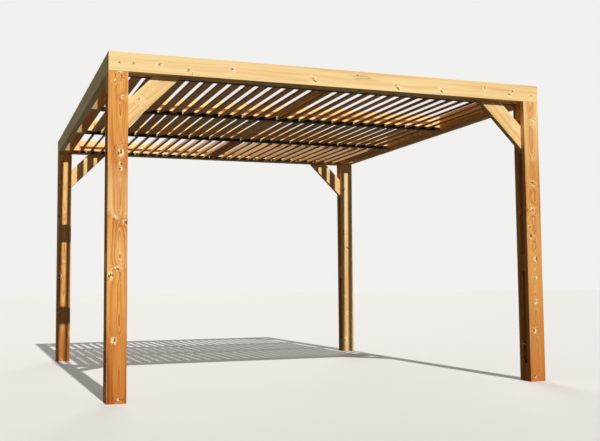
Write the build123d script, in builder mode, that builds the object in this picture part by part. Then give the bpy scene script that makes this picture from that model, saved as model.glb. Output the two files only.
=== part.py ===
"""Wooden pergola with three rows of tilted roof slats.

Millimetres, +Z up. The origin is on the ground under the middle of the roof, the front faces -Y
and the slats run front to back. Posts and outer beams are built up from two boards with short
blocks between them, and each post has a diagonal brace that sits in the slots of post and beam.
"""

import os
from math import cos, radians, sin

from build123d import *

# Overall size
WIDTH = 3360.0  # X, over the posts
DEPTH = 3830.0  # Y, over the posts
HEIGHT = 2320.0  # top of the beams

# Frame timber
BOARD = 132.0  # width of every frame board
LAYER = 48.0  # thickness of the frame boards
SIDE_INNER = 36.0  # thickness of the side beams' inner boards, which end flush with the posts
EASE = 3.0  # rounding of the long edges
BLOCK = 140.0  # length of the blocks between two boards
POST_TOP = HEIGHT - BOARD  # underside of the beams
POST_BLOCK_Z = (0.0, 850.0, POST_TOP - BLOCK)  # undersides of the blocks in a post
BEAM_BLOCK_X = 520.0  # middle blocks of the front and back beams, off centre

# Diagonal braces
BRACE_LEG = 372.0  # from the inner corner to the brace's lower edge, both ways
BRACE_END = 22.0  # the ends stay this far inside the slots

# Cross-beams
CROSS_Y = 559.0  # middle of each cross-beam, off centre
CROSS_BLOCK = 75.0  # length of the left beam's blocks beside the cross-beams

# Slats: they turn on pins below the rails
SLATS = 29  # in one row
SLAT_PITCH = 103.7
SLAT_WIDTH = 90.0
SLAT_THICK = 18.0
SLAT_EASE = 2.5
SLAT_Z = 2213.0  # height of the pivots
SLAT_TILT = {"front": 19.0, "middle": 11.0, "back": 51.0}  # degrees, the right edge up
SLAT_GAP = 3.0  # from a bearing angle to the end of a slat
PIN_RADIUS = 3.0
PIN_SIDES = 8

# Rails over the slat ends, and the notched steel angles that carry the pins
RAIL_THICK = 28.0
RAIL_Z = (2256.0, 2284.0)
RAIL_HALF = 1470.0
ANGLE_HALF = 1500.0
ANGLE_LEG = 22.0  # leg under the beam
ANGLE_THICK = 3.0
NOTCH_WIDTH = 6.6

# Boards over the middle slat of each row
BATTEN_WIDTH = 90.0
BATTEN_HEIGHT = 18.0

# Faces that the pieces share
OUT_X = WIDTH / 2
OUT_Y = DEPTH / 2
POST_IN_X = OUT_X - BOARD  # inner face of a post
SLOT_X = (OUT_X - 2 * LAYER, OUT_X - LAYER)  # slot of the side beams
SLOT_Y = (OUT_Y - 2 * LAYER, OUT_Y - LAYER)  # slot of the front and back beams, and of the posts
IN_X = SLOT_X[0] - SIDE_INNER  # inner face of the side beams
IN_Y = OUT_Y - 3 * LAYER  # inner face of the front and back beams
CROSS_FACE = (CROSS_Y - LAYER / 2, CROSS_Y + LAYER / 2)
ROWS = {
    "front": (-IN_Y, -CROSS_FACE[1]),
    "middle": (-CROSS_FACE[0], CROSS_FACE[0]),
    "back": (CROSS_FACE[1], IN_Y),
}
SLAT_X = [(i - (SLATS - 1) / 2) * SLAT_PITCH for i in range(SLATS)]

os.makedirs("parts", exist_ok=True)


def save(piece, label):
    """Labels a finished piece and writes its file."""
    piece.part.label = label
    export_step(piece.part, f"parts/{label}.step")


def upright(x, y, z):
    """Plane across an upright board, at the middle of its lower end."""
    return Plane(origin=(x, y, z), x_dir=(1, 0, 0), z_dir=(0, 0, 1))


def across(x, y, z):
    """Plane across a board that runs in X, at the middle of its left end."""
    return Plane(origin=(x, y, z), x_dir=(0, 1, 0), z_dir=(1, 0, 0))


def lengthwise(x, y, z, tilt=0.0):
    """Plane across a board that runs in Y, at the middle of its front end."""
    lean = (cos(radians(tilt)), 0, sin(radians(tilt)))
    return Plane(origin=(x, y, z), x_dir=lean, z_dir=(0, 1, 0))


def mirrored(low, high, side):
    """The range from low to high on one side of the middle, in rising order."""
    return (low, high) if side > 0 else (-high, -low)


# Posts: two planks that face front and back, with three short blocks between them
for end, sy in (("front", -1), ("back", 1)):
    for hand, sx in (("left", -1), ("right", 1)):
        post_x = sx * (OUT_X - BOARD / 2)
        name = f"post_{end}_{hand}"
        for layer, depth in (("outer", LAYER / 2), ("inner", 5 * LAYER / 2)):
            with BuildPart() as plank:
                with BuildSketch(upright(post_x, sy * (OUT_Y - depth), 0)) as plank_section:
                    Rectangle(BOARD, LAYER)
                    fillet(plank_section.vertices(), EASE)
                extrude(amount=POST_TOP)
            save(plank, f"{name}_{layer}_plank")

        with BuildPart() as blocks:
            for block_z in POST_BLOCK_Z:
                with BuildSketch(upright(post_x, sy * (OUT_Y - 3 * LAYER / 2), block_z)):
                    Rectangle(BOARD, LAYER)
                extrude(amount=BLOCK)
        save(blocks, f"{name}_blocks")


# Front and back beams: the outer board runs over the posts, the inner one ends at the side beams
for end, sy in (("front", -1), ("back", 1)):
    for layer, depth, half in (
        ("outer", LAYER / 2, OUT_X),
        ("inner", 5 * LAYER / 2, SLOT_X[1]),
    ):
        with BuildPart() as board:
            with BuildSketch(across(-half, sy * (OUT_Y - depth), HEIGHT - BOARD / 2)) as board_section:
                Rectangle(LAYER, BOARD)
                fillet(board_section.vertices(), EASE)
            extrude(amount=2 * half)
        save(board, f"beam_{end}_{layer}_board")

    with BuildPart() as spacers:
        for left in (-SLOT_X[1], -BEAM_BLOCK_X - BLOCK / 2, BEAM_BLOCK_X - BLOCK / 2, SLOT_X[1] - BLOCK):
            with BuildSketch(across(left, sy * (OUT_Y - 3 * LAYER / 2), HEIGHT - BOARD / 2)):
                Rectangle(LAYER, BOARD)
            extrude(amount=BLOCK)
    save(spacers, f"beam_{end}_spacers")


# Side beams: their boards butt between the front and the back beam, and only the left one has
# blocks beside the cross-beams
side_blocks = [(-IN_Y, BLOCK), (IN_Y - BLOCK, BLOCK)]
cross_blocks = [(side * CROSS_Y - CROSS_BLOCK / 2, CROSS_BLOCK) for side in (-1, 1)]
for hand, sx in (("left", -1), ("right", 1)):
    for layer, x, thick, half in (
        ("outer", OUT_X - LAYER / 2, LAYER, SLOT_Y[1]),
        ("inner", (SLOT_X[0] + IN_X) / 2, SIDE_INNER, IN_Y),
    ):
        with BuildPart() as board:
            with BuildSketch(lengthwise(sx * x, -half, HEIGHT - BOARD / 2)) as board_section:
                Rectangle(thick, BOARD)
                fillet(board_section.vertices(), EASE)
            extrude(amount=2 * half)
        save(board, f"beam_{hand}_{layer}_board")

    with BuildPart() as spacers:
        for near, length in side_blocks + (cross_blocks if hand == "left" else []):
            with BuildSketch(lengthwise(sx * (OUT_X - 3 * LAYER / 2), near, HEIGHT - BOARD / 2)):
                Rectangle(LAYER, BOARD)
            extrude(amount=length)
    save(spacers, f"beam_{hand}_spacers")


# Cross-beams between the side beams, near the thirds of the roof
for end, sy in (("front", -1), ("back", 1)):
    with BuildPart() as cross:
        with BuildSketch(across(-IN_X, sy * CROSS_Y, HEIGHT - BOARD / 2)) as cross_section:
            Rectangle(LAYER, BOARD)
            fillet(cross_section.vertices(), EASE)
        extrude(amount=2 * IN_X)
    save(cross, f"crossbeam_{end}")


# Braces: one board at 45 degrees in each corner, cut upright in the post and level in the beam
brace_rise = BOARD * 2**0.5
low_x = POST_IN_X + BOARD - BRACE_END
low_z = POST_TOP - BRACE_LEG - (BOARD - BRACE_END)
top_z = HEIGHT - BRACE_END
top_x = POST_IN_X - BRACE_LEG - (BOARD - BRACE_END)
for end, sy in (("front", -1), ("back", 1)):
    for hand, sx in (("left", -1), ("right", 1)):
        brace_face = mirrored(*SLOT_Y, sy)[1]
        with BuildPart() as brace:
            with BuildSketch(Plane(origin=(0, brace_face, 0), x_dir=(1, 0, 0), z_dir=(0, -1, 0))):
                with BuildLine():
                    Polyline(
                        (sx * low_x, low_z),
                        (sx * top_x, top_z),
                        (sx * (top_x + brace_rise), top_z),
                        (sx * low_x, low_z + brace_rise),
                        close=True,
                    )
                make_face()
            extrude(amount=LAYER)
            slanted = brace.edges().filter_by(
                lambda edge: abs(edge.tangent_at(0.5).X) > 0.1 and abs(edge.tangent_at(0.5).Z) > 0.1
            )
            fillet(slanted, EASE)
        save(brace, f"brace_{end}_{hand}")


# Roof: each row has two rails, two bearing angles, the slats with their pins, and a middle board
for row, (near, far) in ROWS.items():
    with BuildPart() as rails:
        for rail_y in (near + RAIL_THICK / 2, far - RAIL_THICK / 2):
            with BuildSketch(across(-RAIL_HALF, rail_y, sum(RAIL_Z) / 2)):
                Rectangle(RAIL_THICK, RAIL_Z[1] - RAIL_Z[0])
            extrude(amount=2 * RAIL_HALF)
    save(rails, f"slat_rails_{row}_row")

    # The angles wrap the lower edges of the beams, and their upright legs have a notch for every pin
    with BuildPart() as angles:
        for face_y, inwards in ((near, 1), (far, -1)):
            with BuildSketch(across(-ANGLE_HALF, 0, 0)):
                with BuildLine():
                    Polyline(
                        (face_y, SLAT_Z),
                        (face_y + inwards * ANGLE_THICK, SLAT_Z),
                        (face_y + inwards * ANGLE_THICK, POST_TOP - ANGLE_THICK),
                        (face_y - inwards * ANGLE_LEG, POST_TOP - ANGLE_THICK),
                        (face_y - inwards * ANGLE_LEG, POST_TOP),
                        (face_y, POST_TOP),
                        close=True,
                    )
                make_face()
            extrude(amount=2 * ANGLE_HALF)
            with BuildSketch(Plane.XY.offset(SLAT_Z - PIN_RADIUS)):
                with Locations(*[(x, face_y + inwards * ANGLE_THICK / 2) for x in SLAT_X]):
                    Rectangle(NOTCH_WIDTH, ANGLE_THICK)
            extrude(amount=PIN_RADIUS, mode=Mode.SUBTRACT)
    save(angles, f"bearing_angles_{row}_row")

    slat_near = near + ANGLE_THICK + SLAT_GAP
    slat_far = far - ANGLE_THICK - SLAT_GAP
    with BuildPart() as slats:
        for x in SLAT_X:
            with BuildSketch(lengthwise(x, slat_near, SLAT_Z, SLAT_TILT[row])) as slat_section:
                Rectangle(SLAT_WIDTH, SLAT_THICK)
                chamfer(slat_section.vertices(), SLAT_EASE)
            extrude(amount=slat_far - slat_near)
    save(slats, f"slats_{row}_row")

    # Each pin reaches from the end of its slat to the beam and lies in its notch
    with BuildPart() as pins:
        for pin_y in (near, slat_far):
            with BuildSketch(lengthwise(0, pin_y, SLAT_Z)):
                with Locations(*[(x, 0) for x in SLAT_X]):
                    RegularPolygon(PIN_RADIUS, PIN_SIDES, major_radius=False, rotation=180 / PIN_SIDES)
            extrude(amount=slat_near - near)
    save(pins, f"pivot_pins_{row}_row")

    batten_near = near + RAIL_THICK
    with BuildPart() as batten:
        with BuildSketch(lengthwise(0, batten_near, RAIL_Z[0] + BATTEN_HEIGHT / 2)) as batten_section:
            Rectangle(BATTEN_WIDTH, BATTEN_HEIGHT)
            chamfer(batten_section.vertices(), SLAT_EASE)
        extrude(amount=far - near - 2 * RAIL_THICK)
    save(batten, f"middle_batten_{row}_row")
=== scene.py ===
"""Wooden pergola: its softwood, its steel and the light. Metres, +Z up, the front faces -Y."""

import bpy
import numpy as np
from mathutils import Matrix, Vector


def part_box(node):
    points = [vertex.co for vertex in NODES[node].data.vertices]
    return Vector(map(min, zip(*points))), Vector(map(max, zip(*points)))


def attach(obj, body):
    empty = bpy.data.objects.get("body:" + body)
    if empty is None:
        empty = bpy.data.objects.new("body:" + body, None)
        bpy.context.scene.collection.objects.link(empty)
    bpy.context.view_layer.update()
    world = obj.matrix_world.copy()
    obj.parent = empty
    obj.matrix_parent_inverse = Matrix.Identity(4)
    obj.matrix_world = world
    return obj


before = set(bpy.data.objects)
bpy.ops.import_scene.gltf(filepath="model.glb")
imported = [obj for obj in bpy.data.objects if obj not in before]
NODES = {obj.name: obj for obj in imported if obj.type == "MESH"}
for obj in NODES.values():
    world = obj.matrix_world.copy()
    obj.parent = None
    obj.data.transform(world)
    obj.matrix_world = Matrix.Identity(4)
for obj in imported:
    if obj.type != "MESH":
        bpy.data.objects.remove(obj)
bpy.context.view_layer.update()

X, Y, Z = (1, 0, 0), (0, 1, 0), (0, 0, 1)

# Timber sections, as width and thickness
FRAME_BOARD = (0.132, 0.048)
SIDE_INNER_BOARD = (0.132, 0.036)
SLAT_BOARD = (0.09, 0.018)
EDGE_HIGHLIGHT_WIDTH = 0.005  # width of the painted highlight strip along an edge

# Slat rows: number, spacing and height of the pivots, and each row's tilt in degrees
SLATS = 29
SLAT_PITCH = 0.1037
SLAT_Z = 2.213
ROW_TILT = {"front": 19.0, "middle": 11.0, "back": 51.0}

# Steel angles that carry the slats: one leg stands on a beam's face, the other wraps under it
RAIL = 0.028  # thickness of a rail, from the beam's face to the end of a batten
LEG = 0.022  # width of the lower leg
STEEL = 0.003
ANGLE_TOP = 2.213
BEAM_UNDERSIDE = 2.188
ANGLE_END = 1.5  # X where the notched lengths end
SIDE_FACE = 1.548  # X of the side beams' inner faces
SCREW_Z = 2.2

# Woods: the pale wood and its darker grain, as sRGB numbers from 0 to 255
STRAW = (254, 226, 166), (238, 180, 112)
HONEY = (248, 182, 98), (186, 96, 38)
FAWN = (240, 180, 104), (184, 104, 48)
BRACE_STRAW = (250, 214, 150), (222, 164, 94)
SIDE_TAN = (253, 232, 180), (206, 172, 112)
SLAT_TAN = (240, 192, 134), (176, 112, 60)
DEEP_HONEY = (200, 114, 48), (134, 54, 18)
CREAM = (255, 220, 154), (226, 152, 84)

# Colours of the marks in the wood, and of the two steels
KNOT_SWIRL = (255, 236, 180)
KNOT_RIM = (104, 46, 16)
KNOT_HEART = (150, 82, 34)
KNOT_SPLIT = (70, 34, 14)
CHECK_BROWN = (92, 54, 28)
# Painted highlight along the eased edges
PAINTED_EDGE_HIGHLIGHT = (255, 234, 184)
SAWN_END = (150, 96, 52)
SAWN_RINGS = (104, 62, 32)
# Coated steel of the bearing angles. Its near-black brown is also painted shade, the colour of
# shaded wood
SHADE_BROWN_STEEL = (46, 31, 18)
ZINC = (184, 170, 142)

# Growth of the wood
RINGS = 165.0  # rings to the metre
LEAST_KNOT = 0.001  # a smaller radius means that there is no knot
KNOT_SCALE = 0.03  # radius that a ramp's full blue stands for
STROKE_TURN = 50  # degrees from the board's length to a knot that shows as a stroke
KNOT_CELL = 0.1  # width across the board of the cell of a scattered knot
SEED_STEP = 3.7  # from the wood of one piece to the next


def linear(rgb):
    """sRGB numbers from 0 to 255 as linear RGBA."""
    c = np.array(rgb, float) / 255
    low = c / 12.92
    high = ((c + 0.055) / 1.055) ** 2.4
    return (*np.where(c <= 0.04045, low, high).tolist(), 1.0)


class Tree:
    """Short calls for the nodes of one material, group or world."""

    def __init__(self, tree):
        self.tree = tree

    def node(self, kind, inputs=(), **settings):
        """A node of that kind; inputs are (name or number, value or socket) pairs."""
        n = self.tree.nodes.new(kind)
        for key, value in settings.items():
            setattr(n, key, value)
        for key, value in inputs:
            self.put(n.inputs[key], value)
        return n

    def put(self, socket, value):
        """Links a socket, or sets a plain value."""
        if isinstance(value, bpy.types.NodeSocket):
            self.tree.links.new(value, socket)
        elif value is not None:
            socket.default_value = value

    def math(self, operation, a, b=None, c=None, clamp=False):
        """One sum on numbers."""
        n = self.tree.nodes.new("ShaderNodeMath")
        n.operation = operation
        n.use_clamp = clamp
        for socket, value in zip(n.inputs, (a, b, c)):
            self.put(socket, value)
        return n.outputs[0]

    def add(self, a, b):
        """a + b."""
        return self.math("ADD", a, b)

    def sub(self, a, b):
        """a - b."""
        return self.math("SUBTRACT", a, b)

    def mul(self, a, *others):
        """The product of two or more numbers."""
        for b in others:
            a = self.math("MULTIPLY", a, b)
        return a

    def fma(self, a, b, c, clamp=False):
        """a b + c."""
        return self.math("MULTIPLY_ADD", a, b, c, clamp)

    def vector(self, operation, a, b=None):
        """One sum on vectors; the dot product and the length give a number."""
        n = self.tree.nodes.new("ShaderNodeVectorMath")
        n.operation = operation
        self.put(n.inputs[0], a)
        self.put(n.inputs[1], b)
        return n.outputs["Value" if operation in ("DOT_PRODUCT", "LENGTH") else "Vector"]

    def xyz(self, x=0.0, y=0.0, z=0.0):
        """A vector of three numbers."""
        return self.node("ShaderNodeCombineXYZ", (("X", x), ("Y", y), ("Z", z))).outputs[0]

    def split(self, vector):
        """The three numbers of a vector."""
        return self.node("ShaderNodeSeparateXYZ", (("Vector", vector),)).outputs

    def channels(self, color):
        """Red, green and blue of a colour."""
        return self.node("ShaderNodeSeparateColor", (("Color", color),)).outputs

    def dice(self, seed):
        """Outputs of a throw that depends on the seed alone."""
        return self.node("ShaderNodeTexWhiteNoise", (("W", seed),), noise_dimensions="1D").outputs

    def noise(self, place, stretch, seed, detail=2.0, roughness=0.5):
        """Smooth noise from 0 to 1, finer along the axes that stretch makes larger."""
        pairs = (
            ("Vector", self.vector("MULTIPLY", place, stretch)),
            ("W", seed),
            ("Scale", 1.0),
            ("Detail", detail),
            ("Roughness", roughness),
        )
        return self.node("ShaderNodeTexNoise", pairs, noise_dimensions="4D").outputs["Fac"]

    def fall(self, value, full, none):
        """1 at full, 0 at none, smooth between them."""
        pairs = (("Value", value), ("From Min", none), ("From Max", full))
        return self.node("ShaderNodeMapRange", pairs, interpolation_type="SMOOTHSTEP").outputs[0]

    def bell(self, value, width):
        """exp(-(value / width)^2)."""
        part = self.math("DIVIDE", value, width)
        return self.math("EXPONENT", self.mul(part, part, -1.0))

    def mix(self, share, a, b, blend="MIX"):
        """Colours a and b, mixed or multiplied by the share."""
        n = self.node("ShaderNodeMix", data_type="RGBA", blend_type=blend, clamp_factor=True)
        self.put(n.inputs[0], share)
        self.put(n.inputs[6], a)
        self.put(n.inputs[7], b)
        return n.outputs[2]

    def ramp(self, value, interpolation, stops):
        """Colour and alpha of a ramp; stops are (position, RGBA) in rising order, from 0."""
        n = self.node("ShaderNodeValToRGB", (("Fac", value),))
        n.color_ramp.interpolation = interpolation
        elements = n.color_ramp.elements
        for k, (position, color) in enumerate(stops):
            element = elements[0] if k == 0 else elements.new(position)
            element.position = position
            element.color = color
        elements.remove(elements[len(elements) - 1])
        return n.outputs

    def seen(self):
        """1 for what the camera or a gloss sees, 0 for light that is thrown back."""
        path = self.node("ShaderNodeLightPath").outputs
        return self.math("MAXIMUM", path["Is Camera Ray"], path["Is Glossy Ray"])


def growth(t, g, away, size, knotted):
    """Late wood of the rings, broad bands, slow tone and fine fibre, each from 0 to 1.

    Rings are cylinders about a pith line behind the board, with the radius
    r = sqrt((across - p)^2 + (through + q)^2) plus slow noise, so faces show long arches and ends
    show arcs; with the pith to one side the grain runs straight. Round a knot r swells, and the
    grain bows. Each ring darkens towards its late wood.
    """
    place, seed = g["Place"], g["Seed"]
    along, across, through = t.split(place)
    die = t.channels(t.dice(seed)["Color"])
    across = t.sub(across, t.add(t.fma(die[0], 0.08, -0.04), g["Pith Side"]))
    through = t.add(through, t.fma(die[1], 0.05, 0.03))
    warp = t.noise(place, (1.1, 5.0, 5.0), seed)
    ripple = t.noise(place, (5.0, 30.0, 30.0), seed)
    bow = t.mul(t.bell(away, t.fma(size, 2.4, 0.01)), knotted)
    radius = t.math("SQRT", t.fma(across, across, t.mul(through, through)))
    radius = t.fma(t.sub(warp, 0.5), 0.075, radius)
    radius = t.fma(ripple, 0.006, radius)
    radius = t.fma(bow, t.mul(g["Contrast"], 0.024), radius)

    ring = t.math("FRACT", t.mul(radius, RINGS))
    late = t.mul(t.math("POWER", ring, 3.2), t.fall(ring, 0.95, 1.0))
    broad = t.noise(t.xyz(t.mul(along, 0.35), radius, 0.0), (2.0, 52.0, 1.0), seed, 3.0)
    tone = t.noise(place, (0.9, 3.0, 3.0), t.add(seed, 4.0))
    fibre = t.noise(place, (16.0, 480.0, 480.0), seed, 2.0, 0.6)
    return late, broad, tone, fibre


def knot_marks(t, g, color, away, size, knotted):
    """The colour with its knots, and their hearts.

    Cream swirls and a dark rim light and shade one side of a brown heart, which has a dark split
    in it.
    """
    swirl = t.noise(g["Place"], (34.0, 74.0, 74.0), t.add(g["Seed"], 31.0), 1.0, 0.6)
    halo = t.bell(t.sub(away, size), size)
    halo = t.mul(halo, t.fall(swirl, 0.58, 0.46), knotted)
    color = t.mix(halo, color, linear(KNOT_SWIRL))
    rim = t.bell(t.sub(away, t.mul(size, 0.95)), t.fma(size, 0.22, 0.0006))
    rim = t.mul(rim, t.fall(swirl, 0.44, 0.52), knotted)
    color = t.mix(t.math("MULTIPLY", rim, g["Contrast"], clamp=True), color, linear(KNOT_RIM))
    heart = t.mul(t.fall(away, t.mul(size, 0.3), t.mul(size, 0.8)), knotted)
    color = t.mix(t.mul(heart, 0.7), color, linear(KNOT_HEART))
    split = t.mul(t.fall(away, t.mul(size, 0.2), t.mul(size, 0.5)), knotted)
    color = t.mix(t.mul(split, 0.85), color, linear(KNOT_SPLIT))
    return color, heart


def drying_checks(t, g):
    """Where a drying check shows: a thin split that follows the grain for a hand's length."""
    line = t.noise(g["Place"], (0.9, 62.0, 62.0), t.add(g["Seed"], 11.0), 1.0)
    line = t.fall(t.math("ABSOLUTE", t.sub(line, 0.5)), 0.0, 0.013)
    where = t.noise(g["Place"], (2.4, 14.0, 14.0), t.add(g["Seed"], 17.0), 1.0)
    return t.mul(line, t.fall(where, 0.7, 0.6), g["Checks"])


def softwood_group():
    """The cut of a softwood board. Place is (along, across, through) from the board's middle."""
    group = bpy.data.node_groups.new("softwood cut", "ShaderNodeTree")
    vector, number, tint = "NodeSocketVector", "NodeSocketFloat", "NodeSocketColor"
    for name, kind in (
        ("Place", vector),
        ("Knot Distance", number),
        ("Knot Radius", number),
        ("Seed", number),
        ("End", number),
        ("Checks", number),
        ("Pith Side", number),
        ("Contrast", number),
        ("Edge", number),
        ("Pale", tint),
        ("Grain", tint),
    ):
        group.interface.new_socket(name, in_out="INPUT", socket_type=kind)
    for name, kind in (("Color", tint), ("Roughness", number), ("Height", number)):
        group.interface.new_socket(name, in_out="OUTPUT", socket_type=kind)
    t = Tree(group)
    g = t.node("NodeGroupInput").outputs
    place, seed, end, contrast = g["Place"], g["Seed"], g["End"], g["Contrast"]

    # Knots are lopsided: their distance is stretched and squeezed by a small noise
    lopsided = t.noise(place, (55.0, 95.0, 95.0), t.add(seed, 23.0), 1.0)
    away = t.mul(g["Knot Distance"], t.fma(lopsided, 0.9, 0.45))
    knotted = t.math("GREATER_THAN", g["Knot Radius"], LEAST_KNOT)
    size = t.math("MAXIMUM", g["Knot Radius"], LEAST_KNOT)

    late, broad, tone, fibre = growth(t, g, away, size, knotted)
    dark = t.fma(late, contrast, t.mul(t.fall(broad, 0.68, 0.4), t.fma(contrast, 0.5, 0.28)))
    dark = t.fma(t.sub(fibre, 0.5), t.fma(contrast, 0.7, 0.1), dark)
    dark = t.fma(t.sub(tone, 0.5), 1.1, dark, clamp=True)
    color = t.mix(dark, g["Pale"], g["Grain"])

    color, heart = knot_marks(t, g, color, away, size, knotted)
    check = drying_checks(t, g)
    color = t.mix(t.mul(check, 0.75), color, linear(CHECK_BROWN))

    # A painted highlight makes the eased edges paler, in patches, and the surface is smoother
    # there
    patches = t.fall(t.noise(place, (6.0, 20.0, 20.0), seed), 0.62, 0.38)
    edge_highlight = t.mul(g["Edge"], patches)
    color = t.mix(t.mul(edge_highlight, 0.55), color, linear(PAINTED_EDGE_HIGHLIGHT))

    # Sawn ends are darker and duller than the planed faces
    color = t.mix(t.mul(end, 0.55), color, linear(SAWN_END))
    color = t.mix(t.mul(late, end, 0.6), color, linear(SAWN_RINGS))

    rough = t.fma(late, -0.1, 0.7)
    rough = t.fma(tone, 0.1, rough)
    rough = t.fma(edge_highlight, -0.2, rough)
    rough = t.fma(end, 0.2, rough, clamp=True)
    height = t.fma(late, 0.5, t.mul(fibre, 0.5))
    height = t.fma(check, -2.5, height)
    height = t.fma(heart, 0.6, height)
    t.node("NodeGroupOutput", (("Color", color), ("Roughness", rough), ("Height", height)))
    return group


SOFTWOOD = softwood_group()


def knot_table(t, along, across, length, width, knots):
    """Distance to the nearest listed knot and its radius.

    The board's length is cut into one stretch for each knot, and a ramp gives each stretch its
    knot: red how far along, green across, blue the radius. Where alpha is 1 the knot is a stroke,
    turned from the board's length and drawn out 2.6 to 1.
    """
    knots = sorted(knots)
    stops = []
    for n, (a, b, r, stroke) in enumerate(knots):
        start = 0.0 if n == 0 else (a + knots[n - 1][0]) / 2 / length + 0.5
        stops.append((start, (a / length + 0.5, b / width + 0.5, r / KNOT_SCALE, float(stroke))))
    share = t.math("DIVIDE", t.add(along, length / 2), length)
    ramp = t.ramp(share, "CONSTANT", stops)
    got = t.channels(ramp["Color"])
    da = t.sub(along, t.mul(t.sub(got[0], 0.5), length))
    db = t.sub(across, t.mul(t.sub(got[1], 0.5), width))
    away = t.vector("LENGTH", t.xyz(t.mul(da, 0.85), db))
    if any(stroke for *_, stroke in knots):
        c, s = (float(f(np.radians(STROKE_TURN))) for f in (np.cos, np.sin))
        lengthwise = t.fma(da, c, t.mul(db, -s))
        crosswise = t.fma(da, s, t.mul(db, c))
        drawn = t.vector("LENGTH", t.xyz(t.mul(lengthwise, 0.6), t.mul(crosswise, 1.55)))
        away = t.fma(t.sub(drawn, away), ramp["Alpha"], away)
    return away, t.mul(got[2], KNOT_SCALE)


def knot_scatter(t, along, across, seed, spacing):
    """Distance to the nearest scattered knot and its radius, at most one knot to a cell."""
    lengthwise = t.fma(seed, 7.3, t.math("DIVIDE", along, spacing))
    cell = t.xyz(lengthwise, t.math("DIVIDE", across, KNOT_CELL))
    pairs = (("Vector", cell), ("Scale", 1.0))
    nearest = t.node("ShaderNodeTexVoronoi", pairs, voronoi_dimensions="2D").outputs
    step = t.vector("SUBTRACT", cell, nearest["Position"])
    away = t.vector("LENGTH", t.vector("MULTIPLY", step, (spacing * 0.85, KNOT_CELL, 0.0)))
    die = t.channels(nearest["Color"])
    size = t.fma(die[0], 0.009, 0.003)
    return away, t.mul(size, t.math("GREATER_THAN", die[1], 0.35))


def slat_by_slat(t, place, middle_y, seed):
    """In a row of slats: the place from a slat's own middle, its own seed and its own shade."""
    number = t.math("FLOOR", t.fma(t.split(place)[0], 1 / SLAT_PITCH, SLATS / 2))
    centre = t.fma(number, SLAT_PITCH, (1 - SLATS) / 2 * SLAT_PITCH)
    local = t.vector("SUBTRACT", place, t.xyz(centre, middle_y, SLAT_Z))
    die = t.dice(t.add(number, seed * 31.0))["Value"]
    return local, t.mul(die, 60.0), t.fma(die, 0.3, 0.82)


def shade_by_height(t, place, top, tones):
    """Shares of cream and of deep honey at a height, with a ragged border between them."""
    z = t.split(place)[2]
    noise = t.noise(place, (14.0, 14.0, 4.0), 2.0, 3.0)
    ragged = t.fma(t.sub(noise, 0.5), 0.22, z)
    stops = [(at / top, (max(share, 0.0), max(-share, 0.0), 0.0, 1.0)) for at, share in tones]
    ramp = t.ramp(t.math("DIVIDE", ragged, top), "EASE", stops)
    return t.channels(ramp["Color"])[:2]


def timber(
    name, box, along, across, wood, seed, section=None, knots=None, tones=None,
    pith=0.0, contrast=0.6, checks=1.0, spacing=0.34, slats=False,
):
    """Softwood for one node, whose box is its lowest and highest corners.

    along and across are the board's directions, and wood its pale colour and grain. section is
    the board's width and thickness, for the painted highlight along its long edges. knots are
    listed, or else scattered about spacing apart. tones lists heights with a share from -1, deep
    honey, to 1, cream. With slats, each slat of a row has its own middle, seed and shade.
    """
    material = bpy.data.materials.new(name)
    material.use_nodes = True
    t = Tree(material.node_tree)
    shader = material.node_tree.nodes["Principled BSDF"]
    coords = t.node("ShaderNodeTexCoord").outputs
    place = coords["Object"]
    low, high = box
    middle = (low + high) / 2
    shade = None
    if slats:
        local, seed, shade = slat_by_slat(t, place, middle.y, seed)
    else:
        local = t.vector("SUBTRACT", place, tuple(middle))
    a, b = Vector(along).normalized(), Vector(across).normalized()
    va, vb, vc = (t.vector("DOT_PRODUCT", local, tuple(v)) for v in (a, b, a.cross(b)))
    if knots is None:
        away, radius = knot_scatter(t, va, vb, seed, spacing)
    else:
        length, width = (abs((high - low).dot(v)) for v in (a, b))
        away, radius = knot_table(t, va, vb, length, width, knots)
    facing = t.math("ABSOLUTE", t.vector("DOT_PRODUCT", coords["Normal"], tuple(a)))
    # Share of the painted highlight along the long edges
    edge = 0.0
    if section:
        edge = t.mul(*(
            t.fall(t.math("ABSOLUTE", v), size / 2, size / 2 - EDGE_HIGHLIGHT_WIDTH)
            for v, size in zip((vb, vc), section)
        ))
    colors = [linear(c) for c in wood]
    if tones:
        pale, deep = shade_by_height(t, place, high.z, tones)
        colors = [
            t.mix(deep, t.mix(pale, own, linear(cream)), linear(honey))
            for own, cream, honey in zip(colors, CREAM, DEEP_HONEY)
        ]
    cut = t.node("ShaderNodeGroup", node_tree=SOFTWOOD)
    for key, value in (
        ("Place", t.xyz(va, vb, vc)),
        ("Knot Distance", away),
        ("Knot Radius", radius),
        ("Seed", seed),
        ("End", t.math("GREATER_THAN", facing, 0.9)),
        ("Checks", checks),
        ("Pith Side", pith),
        ("Contrast", contrast),
        ("Edge", edge),
        ("Pale", colors[0]),
        ("Grain", colors[1]),
    ):
        t.put(cut.inputs[key], value)
    color = cut.outputs["Color"]
    if slats:
        grey = t.node("ShaderNodeCombineColor", ((0, shade), (1, shade), (2, shade))).outputs[0]
        color = t.mix(1.0, color, grey, "MULTIPLY")
    pairs = (("Strength", 0.5), ("Distance", 0.0006), ("Height", cut.outputs["Height"]))
    t.put(shader.inputs["Base Color"], color)
    t.put(shader.inputs["Roughness"], cut.outputs["Roughness"])
    t.put(shader.inputs["Normal"], t.node("ShaderNodeBump", pairs).outputs["Normal"])
    shader.inputs["Specular IOR Level"].default_value = 0.06
    return material


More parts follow.
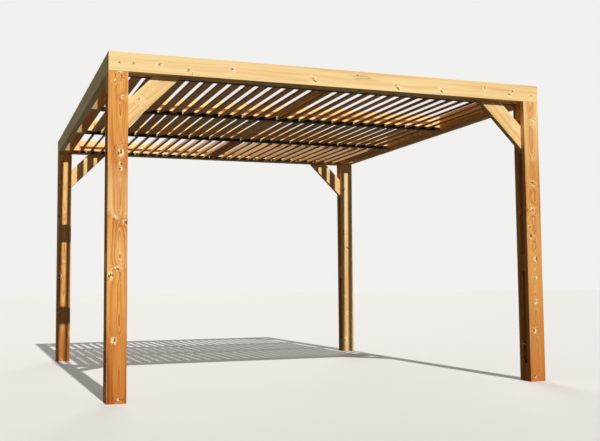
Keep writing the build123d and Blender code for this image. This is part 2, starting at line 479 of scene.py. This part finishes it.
def metal(name, rgb, rough, metallic, spots):
    """Coated or plated steel: slow clouds in colour and roughness, and a fine uneven surface."""
    material = bpy.data.materials.new(name)
    material.use_nodes = True
    t = Tree(material.node_tree)
    shader = material.node_tree.nodes["Principled BSDF"]
    place = t.node("ShaderNodeTexCoord").outputs["Object"]
    cloud = t.noise(place, (18.0, 18.0, 18.0), 1.0, 4.0, 0.6)
    fine = t.noise(place, (700.0, 700.0, 700.0), 2.0)
    worn = tuple(v * spots for v in linear(rgb)[:3]) + (1.0,)
    pairs = (("Strength", 0.3), ("Distance", 0.0001), ("Height", fine))
    t.put(shader.inputs["Base Color"], t.mix(t.fall(cloud, 0.75, 0.35), linear(rgb), worn))
    t.put(shader.inputs["Roughness"], t.fma(cloud, 0.25, rough))
    t.put(shader.inputs["Normal"], t.node("ShaderNodeBump", pairs).outputs["Normal"])
    shader.inputs["Metallic"].default_value = metallic
    shader.inputs["Specular IOR Level"].default_value = 0.08
    return material


def dress(node, material):
    """Gives a node of the model its finish."""
    NODES[node].data.materials.clear()
    NODES[node].data.materials.append(material)


# Knots on the front faces, as (X, Z, radius); the strokes are knots cut along their length
BEAM_KNOTS = [
    (-1.609, 2.245, 0.007), (-1.515, 2.248, 0.009), (-1.343, 2.250, 0.010),
    (-1.141, 2.2295, 0.009), (-0.830, 2.259, 0.010), (0.120, 2.290, 0.006),
    (1.200, 2.270, 0.008), (1.452, 2.264, 0.009), (1.625, 2.236, 0.006),
]
BEAM_STROKES = [
    (-1.112, 2.207, 0.007), (-0.216, 2.223, 0.014), (0.450, 2.214, 0.015),
    (0.818, 2.218, 0.014), (1.420, 2.236, 0.011),
]
LEFT_KNOTS = [
    (-1.609, 2.173, 0.007), (-1.591, 2.154, 0.005), (-1.636, 2.116, 0.005),
    (-1.586, 2.014, 0.006), (-1.595, 1.639, 0.012), (-1.595, 1.564, 0.007),
    (-1.595, 1.532, 0.006), (-1.632, 1.197, 0.011), (-1.557, 1.184, 0.010),
    (-1.614, 0.873, 0.009), (-1.655, 0.832, 0.011), (-1.632, 0.405, 0.009),
    (-1.598, 0.030, 0.006),
]
RIGHT_KNOTS = [
    (1.630, 2.025, 0.006), (1.625, 1.741, 0.005), (1.609, 1.536, 0.009),
    (1.602, 1.332, 0.010), (1.573, 1.202, 0.004), (1.584, 1.127, 0.008),
    (1.625, 0.946, 0.009), (1.614, 0.798, 0.007), (1.609, 0.616, 0.008),
    (1.591, 0.389, 0.009), (1.584, 0.040, 0.006),
]

# Where posts are paler or deeper along their height, from the foot up
PLAIN_TONES = [(0.0, -0.4), (0.5, 0.0)]
LEFT_TONES = [
    (0.0, -0.75), (0.35, -0.6), (0.7, -0.1), (0.95, 0.35), (1.17, 0.1), (1.22, 0.85),
    (1.42, 0.7), (1.62, 0.1), (1.9, -0.05),
]
RIGHT_TONES = [
    (0.0, -0.75), (0.35, -0.5), (0.7, -0.2), (1.3, 0.05), (1.6, 0.05), (1.85, 0.6), (2.15, 0.95),
]
BACK_TONES = [(0.0, 0.1), (0.3, 0.45), (0.9, 0.3), (1.6, 0.6)]


def listed(node, knots, strokes=()):
    """Knots of a front board as (along, across, radius, stroke or not) from its middle."""
    low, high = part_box(node)
    mx, mz = (low.x + high.x) / 2, (low.z + high.z) / 2
    upright = high.z - low.z > high.x - low.x
    rows = []
    for spots, stroke in ((knots, 0), (strokes, 1)):
        for x, z, r in spots:
            place = (z - mz, x - mx) if upright else (x - mx, z - mz)
            rows.append((*place, r, stroke))
    return rows


# Planks and boards whose knots or shades are set one by one
KNOTS = {
    "post_front_left_outer_plank": listed("post_front_left_outer_plank", LEFT_KNOTS),
    "post_front_right_outer_plank": listed("post_front_right_outer_plank", RIGHT_KNOTS),
    "beam_front_outer_board": listed("beam_front_outer_board", BEAM_KNOTS, BEAM_STROKES),
}
TONES = {
    "post_front_left_outer_plank": LEFT_TONES,
    "post_front_right_outer_plank": RIGHT_TONES,
    "post_back_left_inner_plank": BACK_TONES,
    "post_back_right_inner_plank": None,
}

for count, node in enumerate(sorted(NODES)):
    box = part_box(node)
    seed = SEED_STEP * count + 1.0
    kind, *words = node.split("_")
    whole = kind == "crossbeam" or words[-1] in ("plank", "board")
    section = FRAME_BOARD if whole else None
    if kind == "post":
        wood = HONEY if words[1] == "left" else FAWN
        if node == "post_back_right_inner_plank":
            wood = STRAW
        finish = timber(
            f"honey softwood {node}", box, Z, X, wood, seed, section, KNOTS.get(node),
            TONES.get(node, PLAIN_TONES), contrast=1.05,
        )
    elif kind in ("beam", "crossbeam"):
        side = words[0] in ("left", "right")
        wood = SIDE_TAN if side else STRAW
        if side and "inner" in words:
            wood, section = HONEY, SIDE_INNER_BOARD
        finish = timber(
            f"straw softwood {node}", box, Y if side else X, Z, wood, seed, section,
            KNOTS.get(node), pith=0.17, contrast=0.4,
        )
    elif kind == "brace":
        lean = 1 if words[1] == "left" else -1
        finish = timber(
            f"pale softwood {node}", box, (lean, 0, 1), (-lean, 0, 1), BRACE_STRAW, seed,
            FRAME_BOARD, pith=0.08, spacing=0.45,
        )
    elif kind == "slats":
        tilt = np.radians(ROW_TILT[words[0]])
        flat = (float(np.cos(tilt)), 0.0, float(np.sin(tilt)))
        finish = timber(
            f"slat softwood {words[0]}", box, Y, flat, SLAT_TAN, seed, SLAT_BOARD,
            checks=0.4, slats=True,
        )
    elif kind == "slat":
        finish = timber(f"rail softwood {words[1]}", box, X, Z, STRAW, seed, pith=0.1)
    elif kind == "middle":
        finish = timber(f"batten softwood {words[1]}", box, Y, X, SLAT_TAN, seed, SLAT_BOARD)
    else:
        continue
    dress(node, finish)

# The bearing angles and their end lengths are coated steel whose dark brown is also painted shade
shade_brown_steel = metal("coated steel in painted shade brown", SHADE_BROWN_STEEL, rough=0.65, metallic=0.0, spots=0.6)
zinc = metal("zinc plated steel", ZINC, rough=0.3, metallic=1.0, spots=0.7)
for row in ROW_TILT:
    dress(f"bearing_angles_{row}_row", shade_brown_steel)
    dress(f"pivot_pins_{row}_row", zinc)


def built(name, points, faces, material):
    """A mesh from points and faces, with its material, in the scene."""
    mesh = bpy.data.meshes.new(name)
    mesh.from_pydata(points, [], faces)
    mesh.update()
    mesh.materials.append(material)
    piece = bpy.data.objects.new(name, mesh)
    bpy.context.scene.collection.objects.link(piece)
    return piece


def turned(name, profile, spots, axis, sides, material):
    """Many like turned pieces in one mesh.

    The profile is a list of (radius, height) points; each is carried round a circle of the given
    sides, P = spot + r cos(u) e1 + r sin(u) e2 + h axis, for every spot at once.
    """
    axis = np.array(axis, float)
    e1 = np.cross(axis, (0.3, 0.5, 0.8))
    e1 /= np.linalg.norm(e1)
    e2 = np.cross(axis, e1)
    u = np.arange(sides) * 2 * np.pi / sides
    ring = np.cos(u)[:, None] * e1 + np.sin(u)[:, None] * e2
    r, h = np.array(profile, float).T
    one = r[:, None, None] * ring[None] + h[:, None, None] * axis
    spots = np.array(spots, float)
    points = (spots[:, None, None] + one[None]).reshape(-1, 3)
    rows, per = len(profile), len(profile) * sides
    i, j = np.meshgrid(np.arange(rows - 1), np.arange(sides), indexing="ij")
    k = (j + 1) % sides
    corners = [i * sides + j, i * sides + k, (i + 1) * sides + k, (i + 1) * sides + j]
    quads = np.stack(corners, -1).reshape(-1, 4)
    start = np.arange(len(spots))[:, None, None] * per
    faces = (quads[None] + start).reshape(-1, 4).tolist()
    caps = np.stack([np.arange(sides)[::-1], (rows - 1) * sides + np.arange(sides)])
    faces += (caps[None] + start).reshape(-1, sides).tolist()
    piece = built(name, points.tolist(), faces, material)
    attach(piece, "root")


def folded(name, sections, spans, material):
    """Lengths of folded steel strip in one mesh.

    Each section is six (y, z) corners, in turning order seen from +X and starting at the inner
    corner of the fold, carried along X: P = (x0 + t (x1 - x0), y, z), t = 0, 1.
    """
    sections, spans = np.array(sections, float), np.array(spans, float)
    shape = (len(sections), len(spans), 2, 6)
    yz = np.broadcast_to(sections[:, None, None], shape + (2,))
    x = np.broadcast_to(spans[None, :, :, None, None], shape + (1,))
    points = np.concatenate([x, yz], -1).reshape(-1, 3)
    i = np.arange(6)
    k = (i + 1) % 6
    sides = np.stack([i, k, k + 6, i + 6], -1)
    caps = np.array([(3, 2, 1, 0), (5, 4, 3, 0), (6, 7, 8, 9), (6, 9, 10, 11)])
    one = np.concatenate([sides, caps])
    starts = 12 * np.arange(shape[0] * shape[1])[:, None, None]
    faces = (one[None] + starts).reshape(-1, 4)
    piece = built(name, points.tolist(), faces.tolist(), material)
    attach(piece, "root")


# Faces of the beams that carry the slats, as (y, 1 where the row lies behind it or -1 in front)
BEARING_FACES = []
for row in ROW_TILT:
    low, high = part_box(f"middle_batten_{row}_row")
    BEARING_FACES += [(low.y - RAIL, 1), (high.y + RAIL, -1)]

# Screws with washers in the upright legs of the bearing angles: in two of every five gaps
HEAD = [
    (0.0001, 0.0), (0.0085, 0.0), (0.0085, 0.0012), (0.0052, 0.0014), (0.0050, 0.0032),
    (0.0036, 0.0044), (0.0016, 0.0046), (0.0014, 0.0036), (0.0001, 0.0036),
]
HEAD_SIDES = 16
screw_x = [(n + 0.5) * SLAT_PITCH for n in range(-14, 14) if n % 5 in (1, 4)]
for name, inwards in (("angle_screws_facing_back", 1), ("angle_screws_facing_front", -1)):
    spots = [
        (x, face + inwards * STEEL, SCREW_Z)
        for face, way in BEARING_FACES if way == inwards for x in screw_x
    ]
    turned(name, HEAD, spots, (0, inwards, 0), HEAD_SIDES, zinc)

# Short end lengths that carry the bearing angles on to the side beams
sections = []
for face, inwards in BEARING_FACES:
    tip, front = face - inwards * LEG, face + inwards * STEEL
    under = BEAM_UNDERSIDE - STEEL
    lower_leg = [(tip, BEAM_UNDERSIDE), (tip, under), (front, under)]
    upper_leg = [(front, ANGLE_TOP), (face, ANGLE_TOP)]
    around = lower_leg + upper_leg
    sections.append([(face, BEAM_UNDERSIDE)] + (around if inwards > 0 else around[::-1]))
spans = [(-SIDE_FACE, -ANGLE_END), (ANGLE_END, SIDE_FACE)]
folded("angle_ends", sections, spans, shade_brown_steel)

# Floor, surroundings and sunlight. The floor is pale where it is seen, and the light that it
# throws back onto the pergola is kept low, as on dull ground
SEEN = (0.88, 0.875, 0.865, 1.0)
BOUNCED = (0.05, 0.047, 0.04, 1.0)
FILL, FILL_STRENGTH = (1.0, 0.965, 0.88, 1.0), 0.155
SUNLIGHT = (1.0, 0.985, 0.955)
FLOOR_HALF = 90


def floor_material():
    """Pale where the camera or a gloss sees it, darker for the light that it throws back."""
    material = bpy.data.materials.new("pale floor")
    material.use_nodes = True
    t = Tree(material.node_tree)
    shader = material.node_tree.nodes["Principled BSDF"]
    t.put(shader.inputs["Base Color"], t.mix(t.seen(), BOUNCED, SEEN))
    shader.inputs["Roughness"].default_value = 0.9
    shader.inputs["Specular IOR Level"].default_value = 0.1
    return material


corners = [(x * FLOOR_HALF, y * FLOOR_HALF, 0) for x, y in ((-1, -1), (1, -1), (1, 1), (-1, 1))]
floor = built("floor", corners, [(0, 1, 2, 3)], floor_material())

world = bpy.data.worlds.new("studio")
bpy.context.scene.world = world
world.use_nodes = True
w = Tree(world.node_tree)
shown = w.node("ShaderNodeBackground", (("Color", SEEN), ("Strength", 1.0)))
fills = w.node("ShaderNodeBackground", (("Color", FILL), ("Strength", FILL_STRENGTH)))
pairs = ((0, w.seen()), (1, fills.outputs[0]), (2, shown.outputs[0]))
both = w.node("ShaderNodeMixShader", pairs)
for n in list(world.node_tree.nodes):
    if n.type == "OUTPUT_WORLD":
        w.put(n.inputs["Surface"], both.outputs[0])
    if n.type == "BACKGROUND" and n not in (shown, fills):
        world.node_tree.nodes.remove(n)


def sun(name, azimuth, elevation, strength, spread):
    """A lamp far off. Azimuth runs from the front, positive to the right; angles in degrees."""
    lamp = bpy.data.lights.new(name, "SUN")
    lamp.energy = strength
    lamp.angle = float(np.radians(spread))
    lamp.color = SUNLIGHT
    a, e = np.radians((azimuth, elevation))
    towards = (np.sin(a) * np.cos(e), -np.cos(a) * np.cos(e), np.sin(e))
    holder = bpy.data.objects.new(name, lamp)
    bpy.context.scene.collection.objects.link(holder)
    holder.rotation_mode = "QUATERNION"
    holder.rotation_quaternion = Vector([float(v) for v in towards]).to_track_quat("Z", "Y")


sun("key lamp", azimuth=0.4, elevation=37.4, strength=3.35, spread=0.6)
sun("back lamp", azimuth=165, elevation=25, strength=1.0, spread=25)

# Camera, at the photograph's place. Radians: yaw to the right of +Y, pitch above the horizon
CAMERA_AT = (-2.4789, -7.7200, 0.7411)
YAW, PITCH, ROLL = 0.3533, 0.0760, -0.0090
FOCAL_LENGTH, FRAME_WIDTH = 878.60, 600.0  # in pixels
SENSOR_WIDTH = 36.0
forward = Vector((np.sin(YAW) * np.cos(PITCH), np.cos(YAW) * np.cos(PITCH), np.sin(PITCH)))
right = Vector((np.cos(YAW), -np.sin(YAW), 0.0))
up = right.cross(forward)
side = right * float(np.cos(ROLL)) + up * float(np.sin(ROLL))
top = up * float(np.cos(ROLL)) - right * float(np.sin(ROLL))
lens = bpy.data.cameras.new("camera")
lens.lens = FOCAL_LENGTH * SENSOR_WIDTH / FRAME_WIDTH
lens.sensor_width = SENSOR_WIDTH
lens.clip_end = 400.0
camera = bpy.data.objects.new("camera", lens)
turn = Matrix((side, top, -forward)).transposed().to_4x4()
camera.matrix_world = Matrix.Translation(CAMERA_AT) @ turn
bpy.context.scene.collection.objects.link(camera)
bpy.context.scene.camera = camera
bpy.context.scene.view_settings.view_transform = "Standard"
